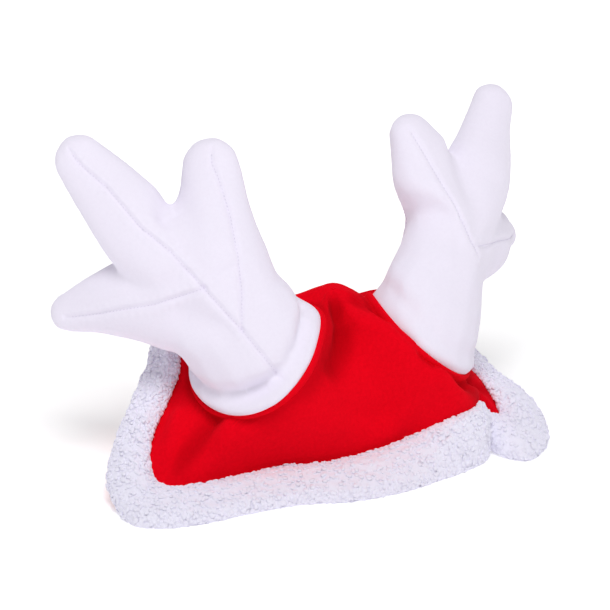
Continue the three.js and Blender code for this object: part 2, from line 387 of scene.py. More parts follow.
whiteThread = {
    "light": (0.84, 0.79, 0.92),
    "dark": (0.66, 0.61, 0.75),
    "stops": (0.35, 0.65),
    "noises": [(2600, 2, 0.5)],  # twist
    "bumps": [(0.3, 0.0002)],
    "roughness": 0.75,
    "specular": 0.2,
    "sheen": (0, 0.5, (1, 1, 1)),
}

redFeltMaterial = makeCloth("red_felt", redFelt)
threadMaterial = makeCloth("white_thread", whiteThread)
whiteFeltMaterial = makeCloth("white_felt", whiteFelt)
whitePileMaterial = makeCloth("white_pile", whitePile)
print("reindeer hat: materials made")

# Crown: one shell of red felt from the ridge to the hem, drawn square to each antler's root

crown = {
    "felt": 2.5,
    "ridge": (-2, 28, 127),
    "ridgeSpread": 0.2,
    "ridgeFall": 0.2,
    "topHole": 0.02,  # share of the ridge's ring that one point closes
    # how the first loft is drawn to a root: flat and fade by distance from its middle,
    # near and far by depth under it, low and seatLow by share of the way down,
    # middle by distance from the ridge
    "flat": 54,
    "fade": 88,
    "near": 38,
    "far": 60,
    "low": 0.84,
    "seatLow": 0.94,
    "middle": (6, 30),
    "loopPoints": 380,
    "redRows": 44,
    "hemRows": 9,
    "topRows": 5,
    "relax": (40, 20, 8),  # passes before each seating of the roots
    "lastRelax": 3,
    "foldRelax": 2,
    "topRelax": (14, 15),  # passes, and how many rows from the top
    "pull": 0.6,  # share of the way to its neighbours that a pass draws a point
    "topRing": 0.3,
    # how the felt is seated again: by distance, height over the root, and distance from the ridge
    "seatReach": (56, 74),
    "seatHeight": (14, 26),
    "seatMiddle": (4, 24),
    "wander": (0.9, 46, 5),  # height, length and seed of the soft waves in the felt
    "quietTop": (3, 9),  # rows from the top in which folds begin
    "quietTrim": (9, 1),  # rows above the trim in which they end
    "quietRoot": (47, 53),
    "atRoot": (8, 18),
    "groove": (2.6, 54.5, 2.4),  # depth, distance and width of the groove sewn in round each welt
    # how much painted shade the groove round each welt gets, against its depth
    "grooveShadePainted": 1.7,
    "broadFold": 10,  # folds as wide as this get no painted shade
    "hole": (46.5, 14),  # distance and height within which the felt is cut out for an antler
    "thinHem": (0.3, 2, 7),  # share of thickness at the floor, and heights where it grows to full
}

# Folds in the crown: height, width, and a line of points on its face
crownFolds = [
    (-6.0, 7, [(13, -19, 120), (17, -23.6, 117.7), (22.3, -32.6, 112)]),  # inside the right welt
    (7.0, 6.5, [(3, -25, 112), (6, -27, 111), (17.6, -36, 108), (26.3, -45, 102.6), (38, -57, 93)]),
    (-12.0, 8.5, [
        (-10, -17, 117), (-9, -22, 112.5), (-9.5, -30, 104), (-12, -39, 95.5), (-20, -51, 86),
    ]),
    (-3.5, 11, [(-24, -58, 63.5), (-3.8, -57, 50), (15.5, -61, 38.7)]),
    (5.5, 7, [(58, -69, 74), (67, -70, 62), (75, -69, 48)]),  # down to the trim on the right
    (-8.0, 6.5, [(74, -63, 68), (79, -61, 63), (87, -57, 53), (96, -50, 42)]),
    (-5.5, 6, [(99.7, -40.5, 50), (123, -27.6, 34.6)]),
    (-4.8, 8, [(-104, -28, 54), (-112, -29, 46), (-124, -32, 35), (-136, -34, 24)]),  # left flap
    (5.5, 7, [(-124, -5, 50), (-126, -8, 47), (-138, -22, 35), (-143, -28, 25)]),
    (5.0, 8, [(-94, -38, 52), (-104, -44, 36), (-112, -46, 20)]),
    (4.0, 13, [(-24, -58, 64), (-27, -60, 44), (-30, -57, 26)]),  # broad waves in front
    (-4.5, 11, [(8, -60, 76), (16, -64, 54), (24, -62, 34)]),
    (3.0, 12, [(-30, 47, 92), (-36, 51, 66), (-40, 58, 36)]),  # at the back
    (-3.4, 11, [(2, 41, 104), (6, 50, 76), (4, 56, 40)]),
    (2.6, 12, [(40, 44, 92), (44, 48, 66), (48, 55, 36)]),
]


def underRidge(p):
    # keeps the felt under the line of the ridge
    cap = crown["ridge"][2] - crown["ridgeFall"] * np.abs(p[:, 0] - crown["ridge"][0])
    p[:, 2] = np.minimum(p[:, 2], cap)
    return p


def onBosses(p, down):
    flat, fade = crown["flat"], crown["fade"]
    for root in roots.values():
        normal = unit(root["normal"])
        height, reach = heightReach(p - np.array(root["base"]), normal)
        skirt = smoothDown(-height, crown["near"], crown["far"]) * smoothDown(down, crown["low"], 1)
        seat = smoothDown(reach, flat, 0.5 * (flat + fade)) * smoothDown(down, crown["seatLow"], 1)
        hold = np.maximum(seat, smoothDown(reach, flat, fade) * skirt)
        beside = smooth(np.abs(p[:, 0] - crown["ridge"][0]), *crown["middle"])
        p = underRidge(p - normal * (height * hold * beside)[:, None])
    return p


def crownRows(count):
    hem, band, swell = hatLoops(count)
    top = np.array(crown["ridge"], float)
    ridge = top + crown["ridgeSpread"] * (band - top)
    fromTop = np.hypot(ridge[:, 0] - top[0], ridge[:, 1] - top[1])
    ridge[:, 2] = top[2] - crown["ridgeFall"] * fromTop
    out = unit((band - top) * np.array([1, 1, 0]))
    run = np.hypot(band[:, 0] - ridge[:, 0], band[:, 1] - ridge[:, 1])
    rise = (ridge[:, 2] - band[:, 2]) / run
    across = unit(np.column_stack([out[:, 0] * rise, out[:, 1] * rise, np.ones(count)]))
    rows = []
    for j in range(crown["topRows"]):
        share = crown["topHole"] + (1 - crown["topHole"]) * j / crown["topRows"]
        rows.append(top + (ridge - top) * share)
    for j in range(crown["redRows"] + 1):
        down = j / crown["redRows"]
        p = ridge + (band - ridge) * down + across * (swell * math.sin(math.pi * down))[:, None]
        rows.append(onBosses(p, down))
    for j in range(1, crown["hemRows"] + 1):
        rows.append(band + (hem - band) * (j / crown["hemRows"]))
    return np.array(rows) + hatShift


def relax(grid, times, keepFrom):
    # evens out the felt, with the rows from keepFrom to the hem left as they are
    pull = crown["pull"]
    for _ in range(times):
        mean = 0.25 * (np.roll(grid, 1, 1) + np.roll(grid, -1, 1))
        mean[1:-1] += 0.25 * (grid[2:] + grid[:-2])
        moved = grid.copy()
        moved[1:keepFrom] = (1 - pull) * grid[1:keepFrom] + pull * mean[1:keepFrom]
        middle = moved[1].mean(0)
        moved[0] = middle + crown["topRing"] * (moved[1] - middle)
        grid = moved
    return grid


def seatRoots(grid):
    # draws the felt square to each antler again
    p = grid.reshape(-1, 3)
    for root in roots.values():
        height, reach = rootPlace(root, p)
        hold = smoothDown(reach, *crown["seatReach"])
        hold *= smoothDown(np.abs(height), *crown["seatHeight"])
        hold *= smooth(np.abs(p[:, 0] - crown["ridge"][0]), *crown["seatMiddle"])
        p = p - unit(root["normal"]) * (height * hold)[:, None]
    return underRidge(p).reshape(grid.shape)


def foldMoves(points, row, redEnd):
    # how far each point of the felt moves, and how much painted shade it gets for lying low in
    # narrow folds or in the groove round a welt
    move = np.zeros(len(points))
    foldShadeAmount = np.zeros(len(points))
    for height, width, line in crownFolds:
        d, _ = lineDistance(points, line)
        rise = height * np.exp(-((d / width) ** 2))
        move += rise
        if width < crown["broadFold"]:
            foldShadeAmount += rise
    height, length, seed = crown["wander"]
    move += height * softNoise(points, length, seed)
    start, end = crown["quietTrim"]
    move *= smooth(row, *crown["quietTop"]) * smoothDown(row, redEnd - start, redEnd - end)
    depth, at, width = crown["groove"]
    for root in roots.values():  # quiet where an antler is sewn in, with a groove round it
        height, reach = rootPlace(root, points)
        near = smoothDown(np.abs(height), *crown["atRoot"])
        loud = 1 - near * smoothDown(reach, *crown["quietRoot"])
        groove = near * depth * np.exp(-(((reach - at) / width) ** 2))
        move = move * loud - groove
        # the groove gets painted shade as well
        foldShadeAmount = foldShadeAmount * loud - crown["grooveShadePainted"] * groove
    return move, foldShadeAmount


def makeCrown():
    count = crown["loopPoints"]
    redEnd = crown["topRows"] + crown["redRows"]
    grid = crownRows(count)
    for times in crown["relax"]:
        grid = seatRoots(relax(grid, times, redEnd))
    grid = relax(grid, crown["lastRelax"], redEnd)
    flatPoints = grid.reshape(-1, 3)
    move, foldShadeAmount = foldMoves(flatPoints, np.repeat(np.arange(len(grid)), count), redEnd)
    folded = flatPoints + gridNormals(grid).reshape(-1, 3) * move[:, None]
    folded = relax(folded.reshape(grid.shape), crown["foldRelax"], redEnd)
    points = settle(relax(folded, *crown["topRelax"]).reshape(-1, 3))
    points[:, 2] = np.maximum(points[:, 2], floorGap)
    holeReach, holeHeight = crown["hole"]
    inHole = np.zeros(len(points), bool)
    for root in roots.values():
        height, reach = rootPlace(root, flatPoints)
        inHole |= (reach < holeReach) & (np.abs(height) < holeHeight)
    faces = gridFaces(len(grid), count)
    faces = faces[~inHole[faces].all(axis=1)][:, ::-1]
    top = len(points)  # closes the small ring at the very top
    points = np.vstack([points, points[:count].mean(0)])
    faces = [list(f) for f in faces] + [[k, (k + 1) % count, top] for k in range(count)]
    obj = meshPiece("crown_felt", points, faces, redFeltMaterial, "crown")
    # painted shade: points low in narrow folds and in the grooves get a darker red, kept on the
    # mesh for the felt's colour
    depth, share = redFelt["shadeFromDepth"]
    dark = share * (1 - np.exp(-np.maximum(-foldShadeAmount, 0) / depth))
    paintedShade = obj.data.attributes.new("paintedShade", "FLOAT", "POINT")
    paintedShade.data.foreach_set("value", np.append(dark, 0.0))
    turnOutward(obj)
    thinner = obj.vertex_groups.new(name="thinner_hem")  # keeps the hem above the floor
    least, low, high = crown["thinHem"]
    for v in obj.data.vertices:
        thick = least + (1 - least) * smooth(v.co.z / mm, low, high)
        thinner.add([v.index], float(thick), "REPLACE")
    wall = obj.modifiers.new("wall", "SOLIDIFY")
    wall.thickness = crown["felt"] * mm
    wall.offset = -1
    wall.vertex_group = "thinner_hem"
    return obj


crownPiece = makeCrown()
print("reindeer hat: crown made,", len(crownPiece.data.polygons), "faces")

# Welts: the rolled edge of the felt round each antler, inside the groove of the crown

welt = {
    # distance from the middle of the root, height over the crown's face
    "profile": [
        (44.5, -10), (47.6, -3), (48.3, 1.2), (48.9, 2.8), (49.9, 3.6),
        (51.1, 3.4), (52.0, 2.2), (52.4, 0.4), (51.6, -3), (46.5, -9),
    ],
    "steps": 150,
    "wander": (0.25, 3),  # height of its waves, and how many go round
}


def makeWelt(name, root):
    base, normal = np.array(root["base"]) + hatShift, unit(root["normal"])
    side = unit(np.cross(normal, (0, 0, 1)))
    rise = np.cross(normal, side)
    turn = np.arange(welt["steps"]) * 2 * math.pi / welt["steps"]
    swing, waves = welt["wander"]
    rows = []
    for reach, height in welt["profile"]:
        wave = swing * np.sin(waves * turn + root["side"]) * (height > 0)
        spread = (reach + wave)[:, None]
        ring = base + np.outer(np.cos(turn), side) * spread
        ring += np.outer(np.sin(turn), rise) * spread + np.outer(height + wave, normal)
        rows.append(ring)
    grid = settle(np.array(rows))
    faces = gridFaces(len(rows), welt["steps"], wrapRows=True)
    obj = meshPiece(f"welt_{name}", grid.reshape(-1, 3), faces, redFeltMaterial)
    turnOutward(obj)
    soft = obj.modifiers.new("soft", "SUBSURF")
    soft.levels = soft.render_levels = 1


for name, root in roots.items():
    makeWelt(name, root)
print("reindeer hat: welts made")

# Trim: a band of curly pile sewn along the hem, with its lumps in the mesh

trim = {
    "height": 10,
    "hemOverhang": 6,
    "felt": 2.5,
    "topEdge": (1, 1.5),  # how far its upper edge runs up the crown, and stands off it
    "topRows": 4,  # rows of the crown that give the lean of that edge
    "shoulder": (0.9, 0.8, 0.6),  # shares of width and height, and of the way there from the edge
    "face": [(0.66, 0.97), (0.26, 1.0)],  # shares of width and height
    "edge": [(0.5, 0.8), (1.0, 0.3)],  # shares of overhang and height
    "under": (4.5, 1.2),  # past the hem
    "back": 0.6,  # how far its back stands off the crown
    "backHem": 0.8,
    "backRows": (0.35, 0.7),  # shares of width
    "loopPoints": 980,
    "outerPoints": 76,
    "backPoints": 7,
    "lumps": [(3.8, 1.0, 3), (8.0, 1.3, 11)],  # size, height, seed
    "lumpForm": (0.62, 1.4),  # share that stands out, and how round
    "lumpsFrom": (0.0, 0.05),  # shares of the way from the upper edge to the hem
    "lumpsTo": (0.93, 1.0),
    "overFloor": (0.5, 0.15),  # before and after the lumps
}


def trimSections(count):
    # points of the band's outline all along the hem, and how many of them are on its outer side
    hem, band, _ = hatLoops(count)
    rows = crownRows(count) - hatShift
    redEnd = crown["topRows"] + crown["redRows"]
    along = np.roll(hem, -1, 0) - np.roll(hem, 1, 0)
    up = band - hem
    width = np.linalg.norm(up, axis=1)[:, None]
    normal = unit(np.cross(along, up))
    up = up / width
    rise = unit(rows[redEnd - trim["topRows"]] - band)
    off = unit(np.cross(along, rise))

    def at(w, h):
        return hem + up * w + normal * h

    tall, hang, back = trim["height"], trim["hemOverhang"], trim["back"]
    edgeUp, edgeOff = trim["topEdge"]
    crest = band + rise * edgeUp + off * edgeOff
    w, h, share = trim["shoulder"]
    outer = [crest, crest + share * (at(w * width, h * tall) - crest)]
    outer += [at(w * width, h * tall) for w, h in trim["face"]]
    outer += [at(-w * hang, h * tall) for w, h in trim["edge"]]
    outer += [at(-w, -trim["felt"]) for w in trim["under"]]
    inner = [at(-trim["backHem"], back)]
    inner += [at(w * width, back) for w in trim["backRows"]] + [band + off * back]
    return np.array(outer + inner), len(outer)


def makeTrim():
    count = trim["loopPoints"]
    control, outerCount = trimSections(count)
    parts = len(control)
    t = np.concatenate([
        np.linspace(0, outerCount - 1, trim["outerPoints"], endpoint=False),
        np.linspace(outerCount - 1, parts, trim["backPoints"], endpoint=False),
    ])
    grid = np.empty((len(t), count, 3))
    for k in range(count):
        grid[:, k] = closedCurve(control[:, k], t / parts)
    grid = settle(grid + hatShift)
    bandFloor, lumpFloor = trim["overFloor"]
    grid[:, :, 2] = np.maximum(grid[:, :, 2], bandFloor)
    normals = gridNormals(grid, wrapRows=True)
    crest, hemEdge = control[0], control[outerCount - 1]
    outward = unit(np.cross(np.roll(crest, -1, 0) - np.roll(crest, 1, 0), crest - hemEdge))
    if (normals[trim["outerPoints"] // 2] * outward).sum() < 0:
        normals = -normals
    flatPoints = grid.reshape(-1, 3)
    move = np.zeros(len(flatPoints))
    standOut, roundness = trim["lumpForm"]
    for size, height, seed in trim["lumps"]:
        move += height * (standOut - cellLumps(flatPoints, size, seed) ** roundness)
    share = t / (outerCount - 1)
    weight = smooth(share, *trim["lumpsFrom"]) * smoothDown(share, *trim["lumpsTo"])
    move *= np.repeat(weight, count)
    points = flatPoints + normals.reshape(-1, 3) * move[:, None]
    points[:, 2] = np.maximum(points[:, 2], lumpFloor)
    faces = gridFaces(len(t), count, wrapRows=True)
    obj = meshPiece("trim_pile", points, faces, whitePileMaterial, "trim")
    turnOutward(obj)
    return obj, points.reshape(grid.shape), normals, share


trimPiece, trimPoints, trimNormals, trimShare = makeTrim()
print("reindeer hat: trim made,", len(trimPiece.data.polygons), "faces")

# Tufts: small rounded curls all over the outer side of the trim

tufts = {
    "seed": 24,
    "share": (0.01, 0.95),  # of the way from the trim's upper edge to the hem
    "every": (4.0, 3.4),  # mesh rows and columns from one tuft to the next
    "jitter": (1.7, 1.5),
    "lean": 0.5,
    "width": (1.5, 2.5),
    "narrow": (0.65, 1.0),
    "height": (0.6, 1.25),
    "sink": 0.4,
    "rings": (0.75, 1.4, 2.2),  # radians from the tip
    "twist": 0.6,
    "uneven": (0.82, 1.15),
    "sides": 6,
    "overFloor": 0.1,
}


def makeTufts(points, normals, share):
    rng = np.random.default_rng(tufts["seed"])
    least, most = tufts["share"]
    free = np.where((share > least) & (share < most))[0]
    loop = points.shape[1]
    rowStep, colStep = tufts["every"]
    rowJitter, colJitter = tufts["jitter"]
    r, c = np.arange(free[0], free[-1], rowStep), np.arange(0, loop, colStep)
    r, c = np.meshgrid(r, c, indexing="ij")
    r = r.ravel() + rng.uniform(-rowJitter, rowJitter, r.size)
    c = c.ravel() + rng.uniform(-colJitter, colJitter, c.size)
    r = np.clip(np.round(r), free[0], free[-1]).astype(int)
    c = np.round(c).astype(int) % loop
    count = len(r)
    normal = normals[r, c]
    along = unit(np.cross(normal, rng.normal(size=(count, 3))))
    across = np.cross(normal, along)
    lift = unit(normal + tufts["lean"] * along * rng.uniform(-1, 1, (count, 1)))
    wide = rng.uniform(*tufts["width"], (count, 1))
    narrow = wide * rng.uniform(*tufts["narrow"], (count, 1))
    tall = rng.uniform(*tufts["height"], (count, 1))
    seat = points[r, c] + normal * rng.uniform(-tufts["sink"], tufts["sink"], (count, 1))
    sides = tufts["sides"]
    rings = [seat + lift * tall]
    for tilt in tufts["rings"]:
        twist = rng.uniform(-tufts["twist"], tufts["twist"], (count, 1))
        for s in range(sides):
            turn = twist + 2 * math.pi * s / sides
            swell = math.sin(tilt) * rng.uniform(*tufts["uneven"], (count, 1))
            ring = along * wide * np.cos(turn) * swell + across * narrow * np.sin(turn) * swell
            rings.append(seat + ring + lift * tall * math.cos(tilt))
    block = np.stack(rings, axis=1)
    block[:, :, 2] = np.maximum(block[:, :, 2], tufts["overFloor"])
    each = block.shape[1]
    one = [[0, 1 + s, 1 + (s + 1) % sides] for s in range(sides)]
    for ring in range(1, each - sides, sides):
        for s in range(sides):
            a, b = ring + s, ring + (s + 1) % sides
            one.append([a, a + sides, b + sides, b])
    one.append([each - 1 - s for s in range(sides)])
    faces = [[first + i for i in face] for first in range(0, count * each, each) for face in one]
    meshPiece("trim_tufts", block.reshape(-1, 3), faces, whitePileMaterial)
    return count


print("reindeer hat:", makeTufts(trimPoints, trimNormals, trimShare), "tufts made")

# Antlers: stuffed felt, swelled by cloth pressure, with sewn seams along the middle of each limb

antler = {
    "yaw": 25,
    "lean": 20,
    "voxel": 4.0,
    "even": (0.5, 4),  # strength and passes of smoothing after the remesh
    "shrink": 0.8,
    "shrinkFrom": (8, 22),  # height over the root
    "sewnBelow": 10,
    "quality": 5,
    "mass": 0.2,
    "pressure": 4.0,
    "frames": 20,
    "cap": 4.0,
    "slack": 0.3,  # how far inside its cut form the felt may lie
    "ironPasses": (14, 8),
    "ironStrength": (0.5, -0.526),  # smooths, then swells back
    "ringRadius": 48.6,
    "ringHeight": (3, 10),
    "ringReach": (25, 40),
    "ringSink": 1.6,
    "subdivisions": 2,
    "fill": 0.75,
    "seamsFrom": (4, 15),  # height over the root
    "seamFacing": (0.15, 0.5),  # how squarely the felt faces front or back
    "sewnWidth": 2,  # narrower lines are sewn, wider ones are creases
    "puff": (0.35, 4.4, 2.6),  # height, distance and width of the swelling beside a seam
    "puffFrom": (2, 14),
    "pucker": (0.12, 6.0),  # height and length of the puckers beside a seam
    "roll": (2.4, 7, 5.5),  # height, place and width of the roll at the root
    "crease": (-5.2, 17, 6.0),  # and of the crease above it
    "gathered": {"left": 1.25, "right": 0.4},  # how full the roll and crease are
    "gatheredBehind": 0.35,  # share of that at the back
    "gatherFacing": (-0.3, 0.6),
    "gatherWander": (0.85, 0.45, 60, 12),  # mean, swing, length, seed
    "wander": (0.8, 42, 8),  # height, length, seed
    "wanderFrom": (6, 30),
    "shiftFrom": (2, 20),
}

# Lines of the seams, as (out from the hat, up)
mainSeam = [
    (131, 148), (124, 138), (103, 120), (79, 92), (58, 75),
    (34.5, 49), (8, 20), (-5, 4), (-27, -24),
]
innerSeam = [(30, 150), (29.5, 138), (23.6, 124), (16, 99), (10.6, 71), (8, 48), (7.7, 20)]
outerSeam = [(137, 33), (112, 32), (71, 38), (34.5, 49)]
turnedSeam = [
    (20, 148), (20.2, 141), (20.6, 126), (20.4, 110),
    (19.8, 92), (22.2, 73.4), (28.6, 55), (34.3, 41),
]

# Seams and soft creases: depth, width, which face, line
antlerSeams = {
    "left": [
        (1.5, 1.7, "both", mainSeam),
        (1.3, 1.6, "both", innerSeam),
        (1.3, 1.6, "both", outerSeam),
        (2.0, 5.0, "front", [(59, 104), (56, 92), (50, 78)]),
        (1.3, 4.0, "front", [(34.5, 50), (14, 65)]),
        (1.6, 7.0, "front", [(60, 52), (46, 58)]),
        (3.2, 10.0, "front", [(46, 30), (34, 24), (22, 20)]),
    ],
    "right": [
        (1.5, 1.7, "back", mainSeam),
        (1.3, 1.6, "back", innerSeam),
        (0.8, 1.6, "both", outerSeam),
        (0.9, 1.6, "front", turnedSeam),
        (2.0, 9.0, "front", [(-2, 62), (12, 58)]),
    ],
}

# How each antler's stuffing has shifted: place (out, up), reach, and move (out, up)
antlerShifts = {
    "left": [(56, 10, 20, 2, -6.5), (139, 28, 22, 0, -5), (60, 106, 12, 4, -6)],
    "right": [
        (-4, 80, 19, 16, 0), (118, 36, 34, 3, 8), (81, 62, 16, 11, 9),
        (72, 24, 20, -2, 8), (56, 112, 14, 5, 6), (45, 128, 11, 5, 3),
    ],
}


def antlerAxes(side):
    # out from the hat, up, and forward
    yaw, lean = math.radians(side * antler["yaw"]), math.radians(-antler["lean"])
    turn = np.array(Matrix.Rotation(yaw, 3, "Z") @ Matrix.Rotation(lean, 3, "X"))
    return turn @ np.array([side, 0, 0]), turn @ np.array([0, 0, 1]), turn @ np.array([0, -1, 0])


def meshArrays(mesh):
    points = np.empty(len(mesh.vertices) * 3)
    normals = np.empty(len(mesh.vertices) * 3)
    mesh.vertices.foreach_get("co", points)
    mesh.vertex_normals.foreach_get("vector", normals)
    return points.reshape(-1, 3) / mm, normals.reshape(-1, 3)


def setPoints(mesh, points):
    mesh.vertices.foreach_set("co", (points * mm).ravel())
    mesh.update()


def evaluated(obj):
    graph = bpy.context.evaluated_depsgraph_get()
    return bpy.data.meshes.new_from_object(obj.evaluated_get(graph))


def faceTree(mesh):
    corners = [v.co[:] for v in mesh.vertices]
    return BVHTree.FromPolygons(corners, [p.vertices[:] for p in mesh.polygons])


def ironed(mesh, points, times):
    # evens out facets without drawing the form in
    edges = np.empty(len(mesh.edges) * 2, np.int32)
    mesh.edges.foreach_get("vertices", edges)
    a, b = edges.reshape(-1, 2).T
    count = np.bincount(edges, minlength=len(points))[:, None]
    for _ in range(times):
        for strength in antler["ironStrength"]:
            total = np.zeros_like(points)
            np.add.at(total, a, points[b])
            np.add.at(total, b, points[a])
            points = points + strength * (total / count - points)
    return points


def swelled(obj, points, height):
    # cloth pressure pushes the felt out, held where it is sewn into the crown
    pin = obj.vertex_groups.new(name="sewn")
    for i in np.where(height < antler["sewnBelow"])[0]:
        pin.add([int(i)], 1.0, "REPLACE")
    cloth = obj.modifiers.new("stuffing", "CLOTH")
    cloth.settings.quality = antler["quality"]
    cloth.settings.mass = antler["mass"]
    cloth.settings.use_pressure = True
    cloth.settings.uniform_pressure_force = antler["pressure"]
    cloth.settings.effector_weights.gravity = 0
    cloth.settings.vertex_group_mass = "sewn"
    cloth.collision_settings.use_collision = False
    cloth.point_cache.frame_start, cloth.point_cache.frame_end = 1, antler["frames"]
    for step in range(1, antler["frames"] + 1):
        scene.frame_set(step)
    after, _ = meshArrays(evaluated(obj))
    obj.modifiers.clear()
    scene.frame_set(1)
    move = after - points
    length = np.linalg.norm(move, axis=1, keepdims=True)
    most, mean = round(float(length.max()), 2), round(float(length.mean()), 2)
    print("reindeer hat: stuffing moved the felt up to", most, "mm, mean", mean)
    return points + move * np.minimum(1, antler["cap"] / np.maximum(length, 1e-6))


def stuffedForm(root):
    # the antler's CAD form, remeshed, drawn in a little and swelled by pressure
    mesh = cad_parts["antler_left"].data.copy()
    obj = bpy.data.objects.new("antler_form", mesh)
    scene.collection.objects.link(obj)
    remesh = obj.modifiers.new("remesh", "REMESH")
    remesh.mode = "VOXEL"
    remesh.voxel_size = antler["voxel"] * mm
    even = obj.modifiers.new("even", "SMOOTH")
    even.factor, even.iterations = antler["even"]
    smoothMesh = evaluated(obj)
    obj.modifiers.clear()
    obj.data = smoothMesh
    points, normals = meshArrays(smoothMesh)
    height, _ = rootPlace(root, points)
    free = smooth(height, *antler["shrinkFrom"])
    points = points - normals * (antler["shrink"] * free)[:, None]
    setPoints(smoothMesh, points)
    setPoints(smoothMesh, swelled(obj, points, height))
    holdForm(smoothMesh)
    fillRing(smoothMesh, root)
    fine = obj.modifiers.new("fine", "SUBSURF")
    fine.levels = fine.render_levels = antler["subdivisions"]
    result = evaluated(obj)
    bpy.data.objects.remove(obj)
    return result


def holdForm(mesh):
    # brings back what remeshing has rounded off, so that the limbs keep their length and girth
    tree = faceTree(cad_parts["antler_left"].data)
    for times in antler["ironPasses"]:
        points, normals = meshArrays(mesh)
        short = np.zeros(len(points))
        for i, p in enumerate(points):
            near, faceWay, _, gap = tree.find_nearest(Vector(p * mm))
            if (Vector(p * mm) - near).dot(faceWay) < 0:
                short[i] = gap / mm
        push = np.maximum(short - antler["slack"], 0)
        setPoints(mesh, ironed(mesh, points + normals * push[:, None], times))


def fillRing(mesh, root):
    # spreads the lowest felt, so that it fills the ring it is sewn into
    points, _ = meshArrays(mesh)
    height, reach = rootPlace(root, points)
    normal = unit(root["normal"])
    away = unit(points - np.array(root["base"]) - hatShift - height[:, None] * normal)
    low = smoothDown(height, *antler["ringHeight"]) * smooth(reach, *antler["ringReach"])
    points = points + away * (low * (antler["ringRadius"] - reach))[:, None]
    points = points + normal * (antler["ringSink"] * np.minimum(height, 0))[:, None]
    setPoints(mesh, points)


def stuffingShift(place, name):
    shift = np.zeros_like(place)
    for atOut, atUp, reach, moveOut, moveUp in antlerShifts[name]:
        near = np.exp(-((place - np.array([atOut, atUp])) ** 2).sum(1) / reach**2)
        shift += near[:, None] * np.array([moveOut, moveUp])
    return shift


def sewAntler(mesh, name):
    root = roots[name]
    out, up, forward = antlerAxes(root["side"])
    points, normals = meshArrays(mesh)
    away = points - np.array(root["base"]) - hatShift
    place = np.column_stack([away @ out, away @ up])
    height, _ = rootPlace(root, points)
    front = normals @ forward
    facing = {"both": np.abs(front), "front": front, "back": -front}
    sewn = smooth(height, *antler["seamsFrom"])
    puffHeight, puffAt, puffWidth = antler["puff"]
    puckerHeight, puckerLength = antler["pucker"]
    move = np.zeros(len(points))
    for depth, width, face, line in antlerSeams[name]:
        d, along = lineDistance(place, line)
        side = smooth(facing[face], *antler["seamFacing"]) * sewn
        move -= side * depth * np.exp(-((d / width) ** 2))
        if width < antler["sewnWidth"]:
            puff = np.exp(-(((d - puffAt) / puffWidth) ** 2)) * smooth(along, *antler["puffFrom"])
            pucker = puckerHeight * np.sin(along * 2 * math.pi / puckerLength)
            move += side * puff * (puffHeight + pucker)
    behind = antler["gatheredBehind"]
    fuller = behind + (1 - behind) * smooth(front, *antler["gatherFacing"])
    mean, swing, length, seed = antler["gatherWander"]
    gathered = antler["gathered"][name] * fuller * (mean + swing * softNoise(points, length, seed))
    for rise, at, width in (antler["roll"], antler["crease"]):
        move += gathered * rise * np.exp(-(((height - at) / width) ** 2))
    rise, length, seed = antler["wander"]
    move += smooth(height, *antler["wanderFrom"]) * rise * softNoise(points, length, seed)
    points = points + normals * move[:, None]
    shift = stuffingShift(place, name) * smooth(height, *antler["shiftFrom"])[:, None]
    points = points + shift[:, :1] * out + shift[:, 1:] * up
    setPoints(mesh, settle(points))


# Stitches: thread in the antlers' seams

stitches = {
    "spacing": 2.6,
    "length": 1.7,
    "thick": 0.3,
    "sides": 6,
    # along, girth, lift
    "rings": [(-0.5, 0.4, -0.2), (-0.25, 1, 0.15), (0.25, 1, 0.15), (0.5, 0.4, -0.2)],
    "ends": (6, 2),  # how far from a seam's two ends the thread begins and stops
    "lowest": 12,  # height over the root
    "facing": 0.35,  # how squarely the felt faces front or back
    "lookFrom": 120,
    "turns": {"both": (1, -1), "front": (1,), "back": (-1,)},
}


def addStitch(points, faces, middle, faceWay, run):
    # one short stitch that dips into the felt at both ends
    run = unit(run - faceWay * (run @ faceWay))
    across = np.cross(faceWay, run)
    first, sides, rings = len(points), stitches["sides"], stitches["rings"]
    for along, girth, lift in rings:
        centre = middle + run * (along * stitches["length"]) + faceWay * lift
        for k in range(sides):
            angle = 2 * math.pi * k / sides
            spoke = across * math.cos(angle) + faceWay * math.sin(angle)
            points.append(centre + spoke * stitches["thick"] * girth)
    last = first + (len(rings) - 1) * sides
    for ring in range(first, last, sides):
        for k in range(sides):
            a, b = ring + k, ring + (k + 1) % sides
            faces.append([a, b, b + sides, a + sides])
    faces.append([first + k for k in reversed(range(sides))])
    faces.append([last + k for k in range(sides)])


